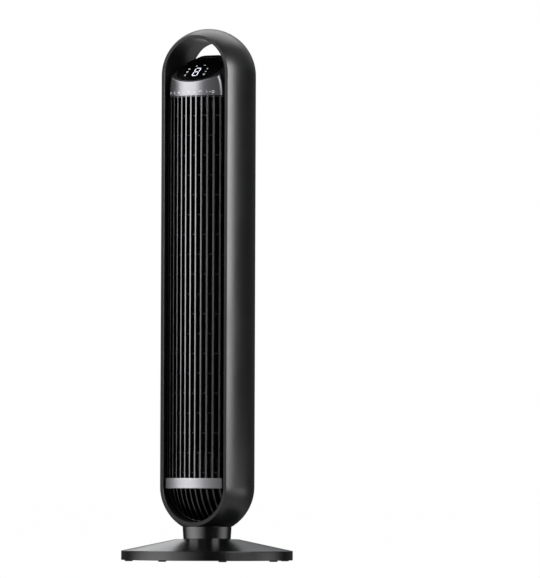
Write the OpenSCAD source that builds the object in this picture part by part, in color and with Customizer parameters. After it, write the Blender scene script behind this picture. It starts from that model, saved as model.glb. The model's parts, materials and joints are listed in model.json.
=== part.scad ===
// Oscillating tower fan: a capsule-shaped body on a neck that swivels in a round weighted base.
// Millimetres, +Z up, front towards -Y, origin at the bottom centre of the base.

/* [Body] */
// Height of the whole fan
total_h = 925; // [915:1:935]
// Radius of the body, which is round in plan with hemispherical ends
body_r = 82; // [81:0.5:84]
// Distance from the body's axis to the flat front rim
front_d = 44.5; // [44:0.25:45]
// Wall of the body shell
shell_wall = 2.6; // [2.4:0.1:3]
// Half the width of the front opening
open_r = 62.5; // [62:0.25:63]
// Height of the lower end of the front opening
open_bottom = 67.5; // [67:0.5:68]
// Fall of the handle tunnel towards the back, in degrees
tunnel_drop = 3.3; // [3:0.1:4]
// Distance behind the axis at which the handle tunnel starts to flare
flare_y = 31.5; // [30:0.5:33]

/* [Grille] */
// Radius of the grille's front surface
grille_r = 96; // [95:0.5:97]
// Distance of that surface's axis behind the body's axis
grille_y = 40.3; // [40:0.1:40.6]
// Height at which the grille's lower end starts to dome back
grille_dome_z = 145; // [143:1:146]
// Number of vertical slats
slat_n = 11; // [9:2:13]
// Distance between slats
slat_pitch = 10.32; // [10:0.02:10.5]
// Width of a slat
slat_w = 2.2; // [1.8:0.1:2.6]
// Depth of a slat
slat_depth = 10; // [9:0.5:11]

/* [Cap and display] */
// Height of the control cap's lower edge
cap_z = 806.5; // [806:0.5:808]
// Half the width of the control cap and the island under it
cap_w = 58; // [57.5:0.25:58.25]
// Rise of the island's rounded top above the cap's lower edge
cap_rise = 77.5; // [77:0.5:78]
// Radius in plan of the cap's and trim band's front
trim_r = 116; // [115:0.5:117]
// Tilt of the display from level
panel_tilt = 37; // [36:0.5:38]
// Half the length of the display across the fan
lens_a = 44.3; // [43.8:0.1:44.5]
// Half the length of the display up its slope
lens_b = 36.6; // [36:0.1:36.8]

/* [Base] */
// Diameter of the base
base_d = 298; // [290:2:310]
// Height of the base's top face
base_h = 38.2; // [38:0.1:38.4]
// Height of the upright rim's top edge
rim_h = 18.2; // [17:0.2:19]
// Number of rubber feet
foot_n = 8; // [6:1:8]

/* [Swivel] */
// Teeth on the full circle of the swivel gear
gear_t = 96; // [96:1:96]
// Teeth on the drive pinion
pinion_t = 12; // [12:1:12]
// Number of balls in the swivel bearing
ball_n = 12; // [8:1:14]

/* [Impeller] */
// Outer radius of the impeller
imp_r = 42; // [40:0.5:42]
// Number of impeller blades
blade_n = 24; // [18:1:30]

/* [Hidden] */
$fn = 96;

// Body heights
top_c = total_h - body_r;
low_c = 129.5;
open_low = open_bottom + open_r;
open_top = top_c + 1;
neck_top = 60.3;
deck_z = 790;
deck_t = 4;
motor_deck = 166;
rear_screw_low = 140;
rear_screw_high = 782;
post_x = 57;
post_y = 10;
side_wall_end = -20;
flare_slope = 0.466;
flare_rise = 1.5;
side_step = 0.1;
inner_r = body_r - shell_wall;
wall_t = 2.4;
big = 400;

// Island, display and cap
cap_wall = 2.2;
panel_y = -27.6;
panel_z = 853.7;
ridge_y = 10;
cap_back = 0;
ridge_z = panel_z + (ridge_y - panel_y) * tan(panel_tilt);
rear_tilt = 42;
trim_y = trim_r - 58;
bezel_a = 45;
bezel_b = 39.5;
bezel_shift = 2.4;
bezel_t = 3.2;
panel_gap = 0.3;
panel_wall = 5.3;
lens_t = 2.1;
mark_t = 1.1;
window_w = 52;
window_low = -25;
window_high = 13;
digit_at = [-1.6, -10];
band_low = 126;
band_high = 144.2;
band_w = 58.4;

// Impeller and motor axis
imp_y = 16;
imp_low = 176;
imp_high = 775;

// Swivel
gear_m = 1;
gear_pr = gear_t * gear_m / 2;
pinion_pr = pinion_t * gear_m / 2;
pinion_y = gear_pr + pinion_pr;
stepper_y = pinion_y + 8;
ball_r = 3;
ball_path = 30;
ball_z = 18.6;
groove_r = 3.3;
table_low = 21;
table_high = 25;
table_r = 40;
table_screw_r = 34.2;
stem_r = 12;
plate_top = 4.5;
foot_ring = 138;
base_r = base_d / 2;
cone_r = 55;
skin = 2.5;
neck_gap_r = 42;

// Colours
black = [0.09, 0.09, 0.1];
charcoal = [0.16, 0.16, 0.17];
silver = [0.62, 0.62, 0.64];
steel = [0.7, 0.71, 0.73];
zinc = [0.78, 0.78, 0.74];
bronze = [0.66, 0.5, 0.3];
copper = [0.75, 0.42, 0.22];
board_green = [0.1, 0.32, 0.2];

// ---- Shared shapes

// Upright cylinder with hemispherical ends, centred on heights lo and hi
module capsule(r, lo, hi) {
    rotate_extrude() intersection() {
        union() {
            translate([0, lo]) circle(r);
            translate([0, hi]) circle(r);
            translate([0, lo]) square([r, hi - lo]);
        }
        translate([0, lo - r]) square([r, hi - lo + 2 * r]);
    }
}

// Straight bar along Y with a round lower end, from height lo (centre of the round) to hi
module slot_bar(r, lo, hi, y0, y1) {
    translate([0, y1, 0]) rotate([90, 0, 0]) linear_extrude(y1 - y0) {
        translate([0, lo]) circle(r);
        translate([-r, lo]) square([2 * r, hi - lo]);
    }
}

// Handle tunnel: round roof whose axis falls towards the back, then a flared mouth
module tunnel(r) {
    flare_z = open_top - (front_d + flare_y) * tan(tunnel_drop) + flare_rise;
    translate([0, -front_d, open_top]) rotate([90 - tunnel_drop, 0, 0]) translate([0, 0, -160])
        linear_extrude(180) {
            circle(r);
            translate([-r, -52]) square([2 * r, 52]);
        }
    translate([0, flare_y, flare_z]) rotate([-90 - tunnel_drop, 0, 0]) translate([0, 0, -6])
        cylinder(r1 = r - 6 * flare_slope, r2 = r + 30 * flare_slope, h = 36);
}

// Curved grille surface: a capsule about an axis behind the body's own
module grille_form(r) {
    translate([0, grille_y, 0]) capsule(r, grille_dome_z, 1100);
}

// Island under the arch, shrunk by d, with its display face sunk by drop
module island(d, drop) {
    intersection() {
        translate([0, 100, 0]) rotate([90, 0, 0]) linear_extrude(200)
            polygon(concat(
                [[-cap_w + d, deck_z], [cap_w - d, deck_z]],
                [for (a = [0 : 4 : 180]) [(cap_w - d) * cos(a), cap_z + (cap_rise - d) * sin(a)]]
            ));
        translate([0, trim_y, deck_z - 1]) cylinder(r = trim_r - d, h = 140, $fn = 180);
        capsule(body_r - d, low_c, top_c);
        on_panel() translate([-big / 2, -big / 2, -big - drop]) cube(big);
        translate([0, ridge_y, ridge_z]) rotate([-rear_tilt, 0, 0])
            translate([-big / 2, -big / 2, -big - d]) cube(big);
    }
}

module on_panel() {
    translate([0, panel_y, panel_z]) rotate([panel_tilt, 0, 0]) children();
}

// Recess for the bezel, and the hole behind it for the display
module panel_hole() {
    on_panel() translate([0, bezel_shift, -bezel_t]) linear_extrude(20) ellipse(bezel_a, bezel_b);
    window(1, 20, 30);
}

// Block through the display's window, wider than it by grow all round, from depth up by h
module window(grow, depth, h) {
    on_panel() translate([-window_w / 2 - grow, window_low - grow, -depth])
        cube([window_w + 2 * grow, window_high - window_low + 2 * grow, h]);
}

module ellipse(a, b) {
    polygon([for (t = [0 : 5 : 355]) [a * cos(t), b * sin(t)]]);
}

// Outline of the horizontal plates inside the body
module deck_outline() {
    intersection() {
        circle(inner_r - 0.1);
        translate([0, grille_y]) circle(grille_r - 16.3);
        union() {
            translate([-open_r + 0.2, -80]) square([2 * open_r - 0.4, 160]);
            translate([-body_r, side_wall_end + 0.4]) square([2 * body_r, 100]);
        }
    }
}

module ring(r_out, r_in, h) {
    difference() {
        cylinder(r = r_out, h = h);
        translate([0, 0, -1]) cylinder(r = r_in, h = h + 2);
    }
}

// Pan-head screw pointing down, with its head resting on z = 0
module screw(r, len) {
    translate([0, 0, -len]) cylinder(r = r, h = len, $fn = 32);
    difference() {
        cylinder(r = 2 * r, h = 1.2 * r, $fn = 32);
        translate([-r, -0.2 * r, 0.6 * r]) cube([2 * r, 0.4 * r, r]);
        translate([-0.2 * r, -r, 0.6 * r]) cube([0.4 * r, 2 * r, r]);
    }
}

module at_angles(n, r, start) {
    for (i = [0 : n - 1]) rotate(start + i * 360 / n) translate([r, 0, 0]) children();
}

// Cable run: straight lengths with round elbows
module run(pts, r) {
    for (i = [0 : len(pts) - 2]) {
        d = pts[i + 1] - pts[i];
        translate(pts[i]) rotate([0, acos(d[2] / norm(d)), atan2(d[1], d[0])])
            cylinder(r = r, h = norm(d), $fn = 24);
    }
    for (i = [1 : len(pts) - 2]) translate(pts[i]) sphere(r + 0.8, $fn = 32);
}

// ---- Gears

pressure = 20;
function inv_deg(a) = tan(a) * 180 / PI - a;
function half_tooth(rho, t, m, play) =
    let (r = t * m / 2, rb = r * cos(pressure), phi = rho > rb ? acos(rb / rho) : 0)
    90 / t - play / r * 90 / PI + inv_deg(pressure) - inv_deg(phi);

// Outline points of one tooth centred on angle a, with involute flanks
function tooth(t, m, add, ded, play, a) =
    let (
        foot = t * m / 2 - ded * m,
        start = max(foot, t * m / 2 * cos(pressure)),
        tip = t * m / 2 + add * m,
        radii = [for (i = [0 : 4]) start + (tip - start) * i / 4],
        base = half_tooth(start, t, m, play)
    )
    concat(
        [foot * [cos(a - base), sin(a - base)]],
        [for (p = radii) p * [cos(a - half_tooth(p, t, m, play)), sin(a - half_tooth(p, t, m, play))]],
        [for (i = [4 : -1 : 0]) let (p = radii[i], h = half_tooth(p, t, m, play)) p * [cos(a + h), sin(a + h)]],
        [foot * [cos(a + base), sin(a + base)]]
    );

// ---- Base

module base_cover() {
    color(charcoal) difference() {
        union() {
            rotate_extrude($fn = 180) polygon([
                [base_r - 0.8, 2], [base_r, 2.8], [base_r, rim_h - 0.6], [base_r - 0.7, rim_h],
                [cone_r, base_h], [neck_gap_r, base_h], [neck_gap_r, base_h - skin],
                [cone_r - 0.4, base_h - skin], [base_r - skin, rim_h - 2.1], [base_r - skin, 2]
            ]);
            at_angles(4, foot_ring, 22.5) translate([0, 0, plate_top]) cylinder(r = 4, h = 13.6);
        }
        at_angles(4, foot_ring, 22.5) translate([0, 0, plate_top - 1]) cylinder(r = 1.6, h = 10);
        translate([0, base_r - 12, 10]) rotate([-90, 0, 0]) cylinder(r = 4.5, h = 20);
    }
}

module base_plate() {
    color(black) difference() {
        union() {
            translate([0, 0, 2]) cylinder(r = base_r - skin - 0.2, h = plate_top - 2);
            for (s = [-1, 1]) translate([s * 17.5, stepper_y, plate_top]) cylinder(r = 3.4, h = 12.5);
        }
        at_angles(4, foot_ring, 22.5) translate([0, 0, 1]) cylinder(r = 1.6, h = 10);
        at_angles(4, foot_ring, 22.5) translate([0, 0, 1]) cylinder(r = 3.4, h = 3);
        for (s = [-1, 1]) translate([s * 17.5, stepper_y, plate_top + 3]) cylinder(r = 1.3, h = 20);
    }
}

module base_weight() {
    color(steel) translate([0, 0, plate_top]) difference() {
        cylinder(r = base_r - 18, h = 6);
        translate([0, 0, -1]) cylinder(r = 82, h = 8);
    }
}

module base_feet() {
    color(black) at_angles(foot_n, foot_ring, 0) rotate_extrude($fn = 48)
        polygon([[0, 0], [6, 0], [7, 0.6], [7, 2], [0, 2]]);
}

module base_screws() {
    color(zinc) at_angles(4, foot_ring, 22.5) translate([0, 0, 4]) rotate([180, 0, 0]) screw(1.6, 9);
}

module cord_gland() {
    color(black) translate([0, base_r - 9, 10]) rotate([-90, 0, 0]) {
        ring(4.5, 3.2, 8.9);
        ring(5.4, 3.2, 6);
    }
}

// ---- Swivel

module swivel_race() {
    color(steel) difference() {
        union() {
            translate([0, 0, 8]) cylinder(r = 36, h = 8);
            translate([0, 0, plate_top]) ring(36, 32, 3.6);
        }
        translate([0, 0, 7]) cylinder(r = stem_r + 0.06, h = 10);
        translate([0, 0, ball_z]) rotate_extrude() translate([ball_path, 0]) circle(groove_r);
    }
}

module stepper_motor() {
    color(zinc) difference() {
        union() {
            translate([0, stepper_y, plate_top]) cylinder(r = 14, h = 15);
            translate([0, pinion_y, 19]) cylinder(r = 4.5, h = 1.1);
            translate([-21, stepper_y - 3.5, 17]) cube([42, 7, 1]);
        }
        translate([0, pinion_y, 13]) cylinder(r = 2.55, h = 10);
        for (s = [-1, 1]) translate([s * 17.5, stepper_y, 10]) cylinder(r = 1.7, h = 10);
    }
}

module stepper_screws() {
    color(zinc) for (s = [-1, 1]) translate([s * 17.5, stepper_y, 18]) screw(1.3, 9);
}

module ball_cage() {
    color([0.85, 0.85, 0.82]) difference() {
        translate([0, 0, ball_z - 1.3]) ring(ball_path + 5, ball_path - 5, 2.6);
        at_angles(ball_n, ball_path, 0) translate([0, 0, ball_z - 3]) cylinder(r = ball_r + 0.05, h = 6);
    }
}

module swivel_balls() {
    color(steel) at_angles(ball_n, ball_path, 0) translate([0, 0, ball_z]) sphere(ball_r, $fn = 48);
}

module drive_pinion() {
    color([0.9, 0.9, 0.86]) translate([0, pinion_y, 20.6]) difference() {
        linear_extrude(4.8) polygon([for (i = [0 : pinion_t - 1], p = tooth(pinion_t, gear_m, 1, 1.25, 0.2,
            270 + i * 360 / pinion_t)) p]);
        translate([0, 0, -1]) cylinder(r = 2.5, h = 8);
    }
}

module pinion_shaft() {
    color(steel) translate([0, pinion_y, 13.5]) cylinder(r = 2.5, h = 12.6);
}

module turntable() {
    color([0.85, 0.85, 0.82]) difference() {
        union() {
            translate([0, 0, table_low]) cylinder(r = table_r, h = table_high - table_low);
            translate([0, 0, 5]) cylinder(r = stem_r, h = 18);
        }
        translate([0, 0, 4]) cylinder(r = 9, h = 30);
        translate([0, 0, ball_z]) rotate_extrude() translate([ball_path, 0]) circle(groove_r);
        at_angles(4, table_screw_r, 45) translate([0, 0, table_low - 1]) cylinder(r = 1.6, h = 10);
    }
}

module stem_nut() {
    color(zinc) translate([0, 0, 5]) difference() {
        intersection() {
            cylinder(r = 18, h = 2.6, $fn = 6);
            cylinder(r = 17, h = 2.6);
        }
        translate([0, 0, -1]) cylinder(r = stem_r, h = 6);
    }
}

module swivel_gear() {
    pitch = 360 / gear_t;
    color([0.9, 0.9, 0.86]) translate([0, 0, table_high - 4.5]) difference() {
        linear_extrude(4.5) polygon(concat(
            [for (i = [-16 : 15], p = tooth(gear_t, gear_m, 0.7, 1.2, 0.1, 90 + (i + 0.5) * pitch)) p],
            [for (a = [153 : 3 : 387]) (gear_pr - 1.2 * gear_m) * [cos(a), sin(a)]]
        ));
        translate([0, 0, -1]) cylinder(r = table_r, h = 8);
    }
}

module neck() {
    color(black) difference() {
        rotate_extrude($fn = 120) polygon([
            [30, table_high], [40.8, table_high], [41.2, base_h], [42.6, neck_top], [16, neck_top],
            [16, neck_top - 3], [39.4, neck_top - 3], [38.2, base_h], [37.8, table_high + 3],
            [30, table_high + 3]
        ]);
        at_angles(4, table_screw_r, 45) translate([0, 0, table_high - 1]) cylinder(r = 1.6, h = 6);
        at_angles(4, 28, 0) translate([0, 0, neck_top - 5]) cylinder(r = 1.6, h = 8);
    }
}

module neck_screws() {
    color(zinc) {
        at_angles(4, table_screw_r, 45) translate([0, 0, table_high + 3]) screw(1.6, 6);
        at_angles(4, 28, 0) translate([0, 0, neck_top - 3]) rotate([180, 0, 0]) screw(1.6, 5.6);
    }
}

// ---- Body

module shell_cuts() {
    translate([-big, -big - front_d, -10]) cube([2 * big, big, 1200]);
    translate([-big, -big, -10]) cube([2 * big, 2 * big, neck_top + 10]);
    slot_bar(open_r - side_step, open_low, deck_z + 30, -100, 100);
    tunnel(open_r);
    cylinder(r = 16, h = 100);
    at_angles(4, 28, 0) cylinder(r = 1.6, h = 100);
}

module outer_shell() {
    color(charcoal) difference() {
        union() {
            difference() {
                capsule(body_r, low_c, top_c);
                capsule(inner_r, low_c, top_c);
            }
            intersection() {
                capsule(body_r - shell_wall / 2, low_c, top_c);
                union() {
                    translate([-big, -front_d, 0]) cube([2 * big, wall_t, 1000]);
                    slot_bar(open_r + wall_t - side_step, open_low, open_top, -front_d, side_wall_end);
                    intersection() {
                        tunnel(open_r + wall_t);
                        translate([-big, -front_d, deck_z]) cube([2 * big, 120, 200]);
                    }
                    translate([0, 0, neck_top - 1]) cylinder(r = 43, h = 3.7);
                }
            }
        }
        shell_cuts();
    }
    color(charcoal) difference() {
        intersection() {
            for (s = [-1, 1]) translate([s * post_x, post_y, neck_top])
                cylinder(r = 4.5, h = motor_deck - deck_t - neck_top);
            capsule(body_r - shell_wall / 2, low_c, top_c);
        }
        for (s = [-1, 1]) translate([s * post_x, post_y, motor_deck - 16]) cylinder(r = 1.5, h = 20);
    }
}

module front_grille() {
    module band_between(r_out, r_in) {
        difference() {
            grille_form(r_out);
            grille_form(r_in);
        }
    }
    rib_pitch = 68.7;
    rib_low = 221.2;
    rib_h = 2;
    slat_0 = -(slat_n - 1) / 2 * slat_pitch;
    color(black) intersection() {
        union() {
            intersection() {
                band_between(grille_r, grille_r - slat_depth);
                for (i = [0 : slat_n - 1]) translate([slat_0 + i * slat_pitch - slat_w / 2, -90, 60])
                    cube([slat_w, 130, cap_z - 60]);
            }
            intersection() {
                band_between(grille_r - 3.5, grille_r - 7.5);
                for (i = [0 : slat_n], k = [-1 : 8])
                    translate([slat_0 + (i - 1) * slat_pitch, -90, rib_low + (k + (i % 2) / 2) * rib_pitch])
                        cube([slat_pitch, 110, rib_h]);
            }
            difference() {
                band_between(grille_r, grille_r - 14);
                slot_bar(open_r - 2.7, open_low, cap_z - 3, -200, 200);
            }
        }
        slot_bar(open_r - 0.2, open_low, cap_z, -100, grille_y);
    }
}

module trim_band() {
    color(silver) difference() {
        intersection() {
            translate([0, trim_y, band_low]) cylinder(r = trim_r, h = band_high - band_low, $fn = 360);
            translate([-band_w, -80, 0]) cube([2 * band_w, 60, 200]);
        }
        grille_form(grille_r, $fn = 360);
    }
}

module lower_blank() {
    color(black) intersection() {
        difference() {
            grille_form(grille_r - 14);
            grille_form(grille_r - 16);
        }
        slot_bar(open_r - 0.4, open_low, motor_deck, -100, 20);
    }
}

module control_cap() {
    color(silver) {
        difference() {
            intersection() {
                island(0, panel_gap);
                translate([-big, -100, cap_z]) cube([2 * big, 100 + cap_back, 200]);
            }
            island(cap_wall, panel_wall);
            panel_hole();
        }
        for (s = [-1, 1]) translate([s * 33 - 1, 0, cap_z]) intersection() {
            translate([0, -54, 0]) cube([2, 7, 17]);
            translate([-s * 33 + 1, trim_y, 0]) cylinder(r = trim_r - cap_wall + 0.2, h = 20, $fn = 180);
        }
    }
}

module display_bezel() {
    color(black) difference() {
        on_panel() translate([0, bezel_shift, -bezel_t]) linear_extrude(bezel_t) ellipse(bezel_a, bezel_b);
        on_panel() translate([0, 0, -lens_t]) linear_extrude(5) ellipse(lens_a + 0.05, lens_b + 0.05);
        window(0, 10, 20);
    }
}

module display_lens() {
    color([0.02, 0.02, 0.03]) on_panel() translate([0, 0, -lens_t]) linear_extrude(lens_t)
        ellipse(lens_a, lens_b);
}

// Seven-segment figure of eight with leaning sides
module digit_segments() {
    w = 9.4;
    h = 22;
    t = 2.4;
    gap = 1.2;
    lean = -5;
    module bar(len) {
        polygon([[-len / 2, 0], [-len / 2 + t / 2, t / 2], [len / 2 - t / 2, t / 2], [len / 2, 0],
            [len / 2 - t / 2, -t / 2], [-len / 2 + t / 2, -t / 2]]);
    }
    color("white") on_panel() translate([digit_at[0], digit_at[1], -lens_t - mark_t]) linear_extrude(mark_t)
        for (k = [-1 : 1]) {
            translate([k * h / 2 * sin(lean), k * h / 2]) bar(w - gap);
            if (k < 1) for (s = [-1, 1])
                translate([s * w / 2 + (k + 0.5) * h / 2 * sin(lean), (k + 0.5) * h / 2])
                    rotate(90 - lean) bar(h / 2 - gap);
        }
}

// Small indicator marks round the figure
module status_icons() {
    spots = [[-20, 9.5], [-19.5, 0.5], [-18.5, -9], [-9.5, 19], [6.5, 19], [18, 9.5], [19, 0.5], [19.5, -8]];
    color("white") on_panel() translate([digit_at[0], digit_at[1], -lens_t - mark_t]) linear_extrude(mark_t)
        for (p = spots) translate(p) square([3.2, 2.8], center = true);
}

module led_module() {
    color(black) window(0, panel_wall, panel_wall - lens_t - mark_t - 0.1);
}

module display_board() {
    color(board_green) window(3, panel_wall + 1.6, 1.6);
}

module touch_board() {
    color(board_green) translate([-32, -51, cap_z + 3]) cube([64, 1.2, 12]);
}

module saddle_cap() {
    color(black) intersection() {
        difference() {
            island(0, panel_gap);
            island(cap_wall, panel_wall);
            panel_hole();
        }
        union() {
            translate([-big, cap_back, deck_z]) cube([2 * big, 150, 200]);
            intersection() {
                translate([0, grille_y, deck_z]) cylinder(r = grille_r - 14.5, h = cap_z - deck_z);
                translate([-big, -60, deck_z]) cube([2 * big, 60 + cap_back, cap_z - deck_z]);
            }
        }
    }
}

module rear_grille() {
    cols = 13;
    rows = 9;
    pitch_x = 9;
    pitch_z = 68.7;
    slots_low = 158;
    hole_w = 6.4;
    bridge = 3;
    color(black) difference() {
        intersection() {
            difference() {
                capsule(body_r, low_c, top_c);
                capsule(inner_r + 0.2, low_c, top_c);
            }
            slot_bar(open_r - 0.3, open_low, deck_z - 0.5, 0, 100);
        }
        for (i = [0 : cols - 1], k = [0 : rows - 1])
            translate([(i - (cols - 1) / 2) * pitch_x - hole_w / 2, 40, slots_low + k * pitch_z])
                cube([hole_w, 60, pitch_z - bridge]);
        for (z = [rear_screw_low, rear_screw_high]) translate([0, 60, z]) rotate([-90, 0, 0])
            cylinder(r = 1.8, h = 40);
    }
}

module rear_grille_screws() {
    color(zinc) for (z = [rear_screw_low, rear_screw_high])
        translate([0, body_r, z]) rotate([-90, 0, 0]) screw(1.7, 10);
}

// ---- Air duct and impeller

module scroll_wall() {
    h = deck_z - deck_t - motor_deck;
    centre = [4, 12];
    r = 56;
    wall = 2;
    color(black) translate([0, 0, motor_deck]) linear_extrude(h) polygon(concat(
        [for (a = [94 : 4 : 198]) centre + r * [cos(a), sin(a)]],
        [[-61.8, -10.6], [-61.8, -10.6 - wall]],
        [for (a = [202 : -4 : 94]) centre + (r - wall) * [cos(a), sin(a)]]
    ));
}

module tongue_wall() {
    h = deck_z - deck_t - motor_deck;
    color(black) translate([0, 0, motor_deck]) linear_extrude(h) {
        translate([37, -15]) circle(3, $fn = 48);
        translate([37, -16]) square([21, 2]);
    }
}

module top_plate() {
    color(black) difference() {
        union() {
            translate([0, 0, deck_z - deck_t]) linear_extrude(deck_t) intersection() {
                deck_outline();
                square([2 * (open_r + wall_t), 200], center = true);
            }
            translate([0, imp_y, deck_z - 12]) cylinder(r = 14.5, h = 10);
            translate([-5, 70, rear_screw_high - 5]) cube([10, 9.2, deck_z - 1 - rear_screw_high + 5]);
        }
        translate([0, 60, rear_screw_high]) rotate([-90, 0, 0]) cylinder(r = 1.7, h = 30);
        translate([0, imp_y, deck_z - 13]) cylinder(r = 12, h = 11);
        translate([52, 44, deck_z - 10]) cylinder(r = 4, h = 20);
    }
}

module bearing_mount() {
    color(charcoal) translate([0, imp_y, deck_z - 11]) ring(12, 7, 9);
}

module top_bearing() {
    color(bronze) translate([0, imp_y, deck_z - 11]) ring(7, 3.05, 9);
}

module motor_plate() {
    color(black) difference() {
        union() {
            translate([0, 0, motor_deck - deck_t]) linear_extrude(deck_t) deck_outline();
            for (s = [-1, 1]) translate([s * 30 - 4, 57.6, 136]) cube([8, 3, motor_deck - 137]);
            translate([-5, 70, rear_screw_low - 5]) cube([10, 9.2, motor_deck - 1 - rear_screw_low + 5]);
        }
        translate([0, imp_y, 100]) cylinder(r = 14, h = 100);
        translate([52, 44, 100]) cylinder(r = 4, h = 100);
        for (s = [-1, 1]) translate([s * post_x, post_y, 100]) cylinder(r = 1.8, h = 100);
        translate([0, 60, rear_screw_low]) rotate([-90, 0, 0]) cylinder(r = 1.7, h = 30);
        translate([0, imp_y, 100]) at_angles(3, 44, 30) cylinder(r = 2.1, h = 100);
    }
}

module plate_screws() {
    color(zinc) for (s = [-1, 1]) translate([s * post_x, post_y, motor_deck]) screw(1.5, 14);
}

module impeller() {
    bands = 5;
    blade_r = 9;
    blade_t = 1.1;
    disc_t = 2.5;
    mid = imp_r - 5.5;
    color(charcoal) translate([0, imp_y, imp_low]) difference() {
        union() {
            linear_extrude(imp_high - imp_low) at_angles(blade_n, mid, 0) translate([0, -7]) intersection() {
                difference() {
                    circle(blade_r);
                    circle(blade_r - blade_t);
                }
                translate([-4.4, 0]) square([8.8, 20]);
            }
            for (k = [0 : bands]) translate([0, 0, k * (imp_high - imp_low - disc_t) / bands])
                ring(imp_r - 0.5, imp_r - 11, disc_t);
            cylinder(r = imp_r - 10, h = disc_t);
            cylinder(r = 14, h = 8);
            translate([0, 0, imp_high - imp_low - disc_t]) cylinder(r = imp_r - 10, h = disc_t);
            translate([0, 0, imp_high - imp_low - 10]) cylinder(r = 7, h = 10);
        }
        translate([0, 0, -1]) cylinder(r = 9, h = 7);
        translate([0, 0, imp_high - imp_low - 8]) cylinder(r = 3, h = 10);
    }
}

module impeller_pin() {
    color(steel) translate([0, imp_y, imp_high - 8]) cylinder(r = 3, h = 20);
}

module shaft_coupling() {
    color(black) translate([0, imp_y, imp_low - 3]) ring(9, 4, 8);
}

// ---- Fan motor

module motor_can(h) {
    difference() {
        union() {
            cylinder(r = 36, h = h);
            translate([0, 0, h - 1]) cylinder(r = 9, h = 5);
        }
        translate([0, 0, -1]) cylinder(r = 34.5, h = h - 0.5);
        cylinder(r = 6.5, h = 60);
    }
}

module motor_upper_can() {
    color(zinc) translate([0, imp_y, 132]) difference() {
        union() {
            motor_can(20);
            at_angles(3, 44, 30) cylinder(r = 5, h = 2);
            for (i = [0 : 2]) rotate(30 + i * 120) translate([35.4, -4, 0]) cube([8, 8, 2]);
        }
        at_angles(3, 44, 30) translate([0, 0, -1]) cylinder(r = 2.1, h = 6);
    }
}

module motor_lower_can() {
    color(zinc) translate([0, imp_y, 132]) mirror([0, 0, 1]) motor_can(20);
}

module motor_stator() {
    poles = 6;
    color(steel) translate([0, imp_y, 120]) difference() {
        cylinder(r = 34.4, h = 24);
        translate([0, 0, -1]) cylinder(r = 17.5, h = 30);
        at_angles(poles, 23.5, 30) translate([0, 0, -1]) cylinder(r = 4.6, h = 30);
    }
}

module motor_windings() {
    color(copper) translate([0, imp_y, 0]) {
        at_angles(6, 23.5, 30) translate([0, 0, 120]) cylinder(r = 4.3, h = 24);
        translate([0, 0, 144]) ring(28, 19, 4);
        translate([0, 0, 116]) ring(28, 19, 4);
    }
}

module motor_bearings() {
    color(bronze) translate([0, imp_y, 0]) {
        translate([0, 0, 149]) ring(6.5, 4.05, 7);
        translate([0, 0, 108]) ring(6.5, 4.05, 7);
    }
}

module motor_rotor() {
    color(steel) translate([0, imp_y, 0]) {
        translate([0, 0, 106]) cylinder(r = 4, h = imp_low + 5 - 106);
        translate([0, 0, 121]) cylinder(r = 17, h = 22);
    }
}

module motor_mounts() {
    color(charcoal) translate([0, imp_y, 134]) at_angles(3, 44, 30) ring(5, 2.1, motor_deck - deck_t - 134);
}

module motor_screws() {
    color(zinc) translate([0, imp_y, 132]) at_angles(3, 44, 30) rotate([180, 0, 0]) screw(2, 32);
}

module control_board() {
    color(board_green) translate([-36, 56, 96]) cube([72, 1.6, 54]);
}

module board_parts() {
    color(black) {
        translate([-32, 50, 98]) cube([18, 6, 13]);
        translate([-6, 50, 98]) cube([10, 6, 12]);
        translate([12, 56, 104]) rotate([90, 0, 0]) cylinder(r = 4, h = 6);
        translate([24, 56, 104]) rotate([90, 0, 0]) cylinder(r = 5, h = 8);
        translate([26, 50, 120]) cube([8, 6, 12]);
    }
}

module wiring_loom() {
    color(black) run([[36.8, 53.2, 126], [52, 44, 146], [52, 44, 796], [26, 4, 816], [10, -22.8, 847.3]], 2.5);
}

base_cover();
base_plate();
base_weight();
base_feet();
base_screws();
cord_gland();
swivel_race();
stepper_motor();
stepper_screws();
ball_cage();
swivel_balls();
drive_pinion();
pinion_shaft();
turntable();
stem_nut();
swivel_gear();
neck();
neck_screws();
outer_shell();
front_grille();
trim_band();
lower_blank();
control_cap();
display_bezel();
display_lens();
digit_segments();
status_icons();
led_module();
display_board();
touch_board();
saddle_cap();
rear_grille();
rear_grille_screws();
scroll_wall();
tongue_wall();
top_plate();
bearing_mount();
top_bearing();
motor_plate();
plate_screws();
motor_upper_can();
motor_lower_can();
motor_stator();
motor_windings();
motor_bearings();
motor_mounts();
motor_screws();
control_board();
board_parts();
wiring_loom();
impeller();
impeller_pin();
shaft_coupling();
motor_rotor();
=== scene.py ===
# Oscillating tower fan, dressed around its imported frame. Metres, +Z up, front towards -Y.
import json
import math

import bmesh
import bpy
import numpy as np
from mathutils import Matrix, Vector


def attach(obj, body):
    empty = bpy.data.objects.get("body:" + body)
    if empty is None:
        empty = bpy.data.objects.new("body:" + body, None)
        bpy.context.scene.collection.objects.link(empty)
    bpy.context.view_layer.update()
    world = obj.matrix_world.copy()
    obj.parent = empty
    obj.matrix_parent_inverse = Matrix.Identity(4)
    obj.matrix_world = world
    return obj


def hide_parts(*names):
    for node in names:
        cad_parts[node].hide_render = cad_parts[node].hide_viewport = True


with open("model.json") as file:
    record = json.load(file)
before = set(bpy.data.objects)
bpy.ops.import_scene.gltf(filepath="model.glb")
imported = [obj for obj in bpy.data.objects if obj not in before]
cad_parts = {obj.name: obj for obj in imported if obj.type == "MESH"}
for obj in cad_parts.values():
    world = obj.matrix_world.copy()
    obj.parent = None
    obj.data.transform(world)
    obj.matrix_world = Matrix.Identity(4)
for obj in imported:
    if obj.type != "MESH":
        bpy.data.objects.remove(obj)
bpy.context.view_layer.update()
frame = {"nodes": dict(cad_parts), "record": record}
mm = 0.001
print("frame loaded")


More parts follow.
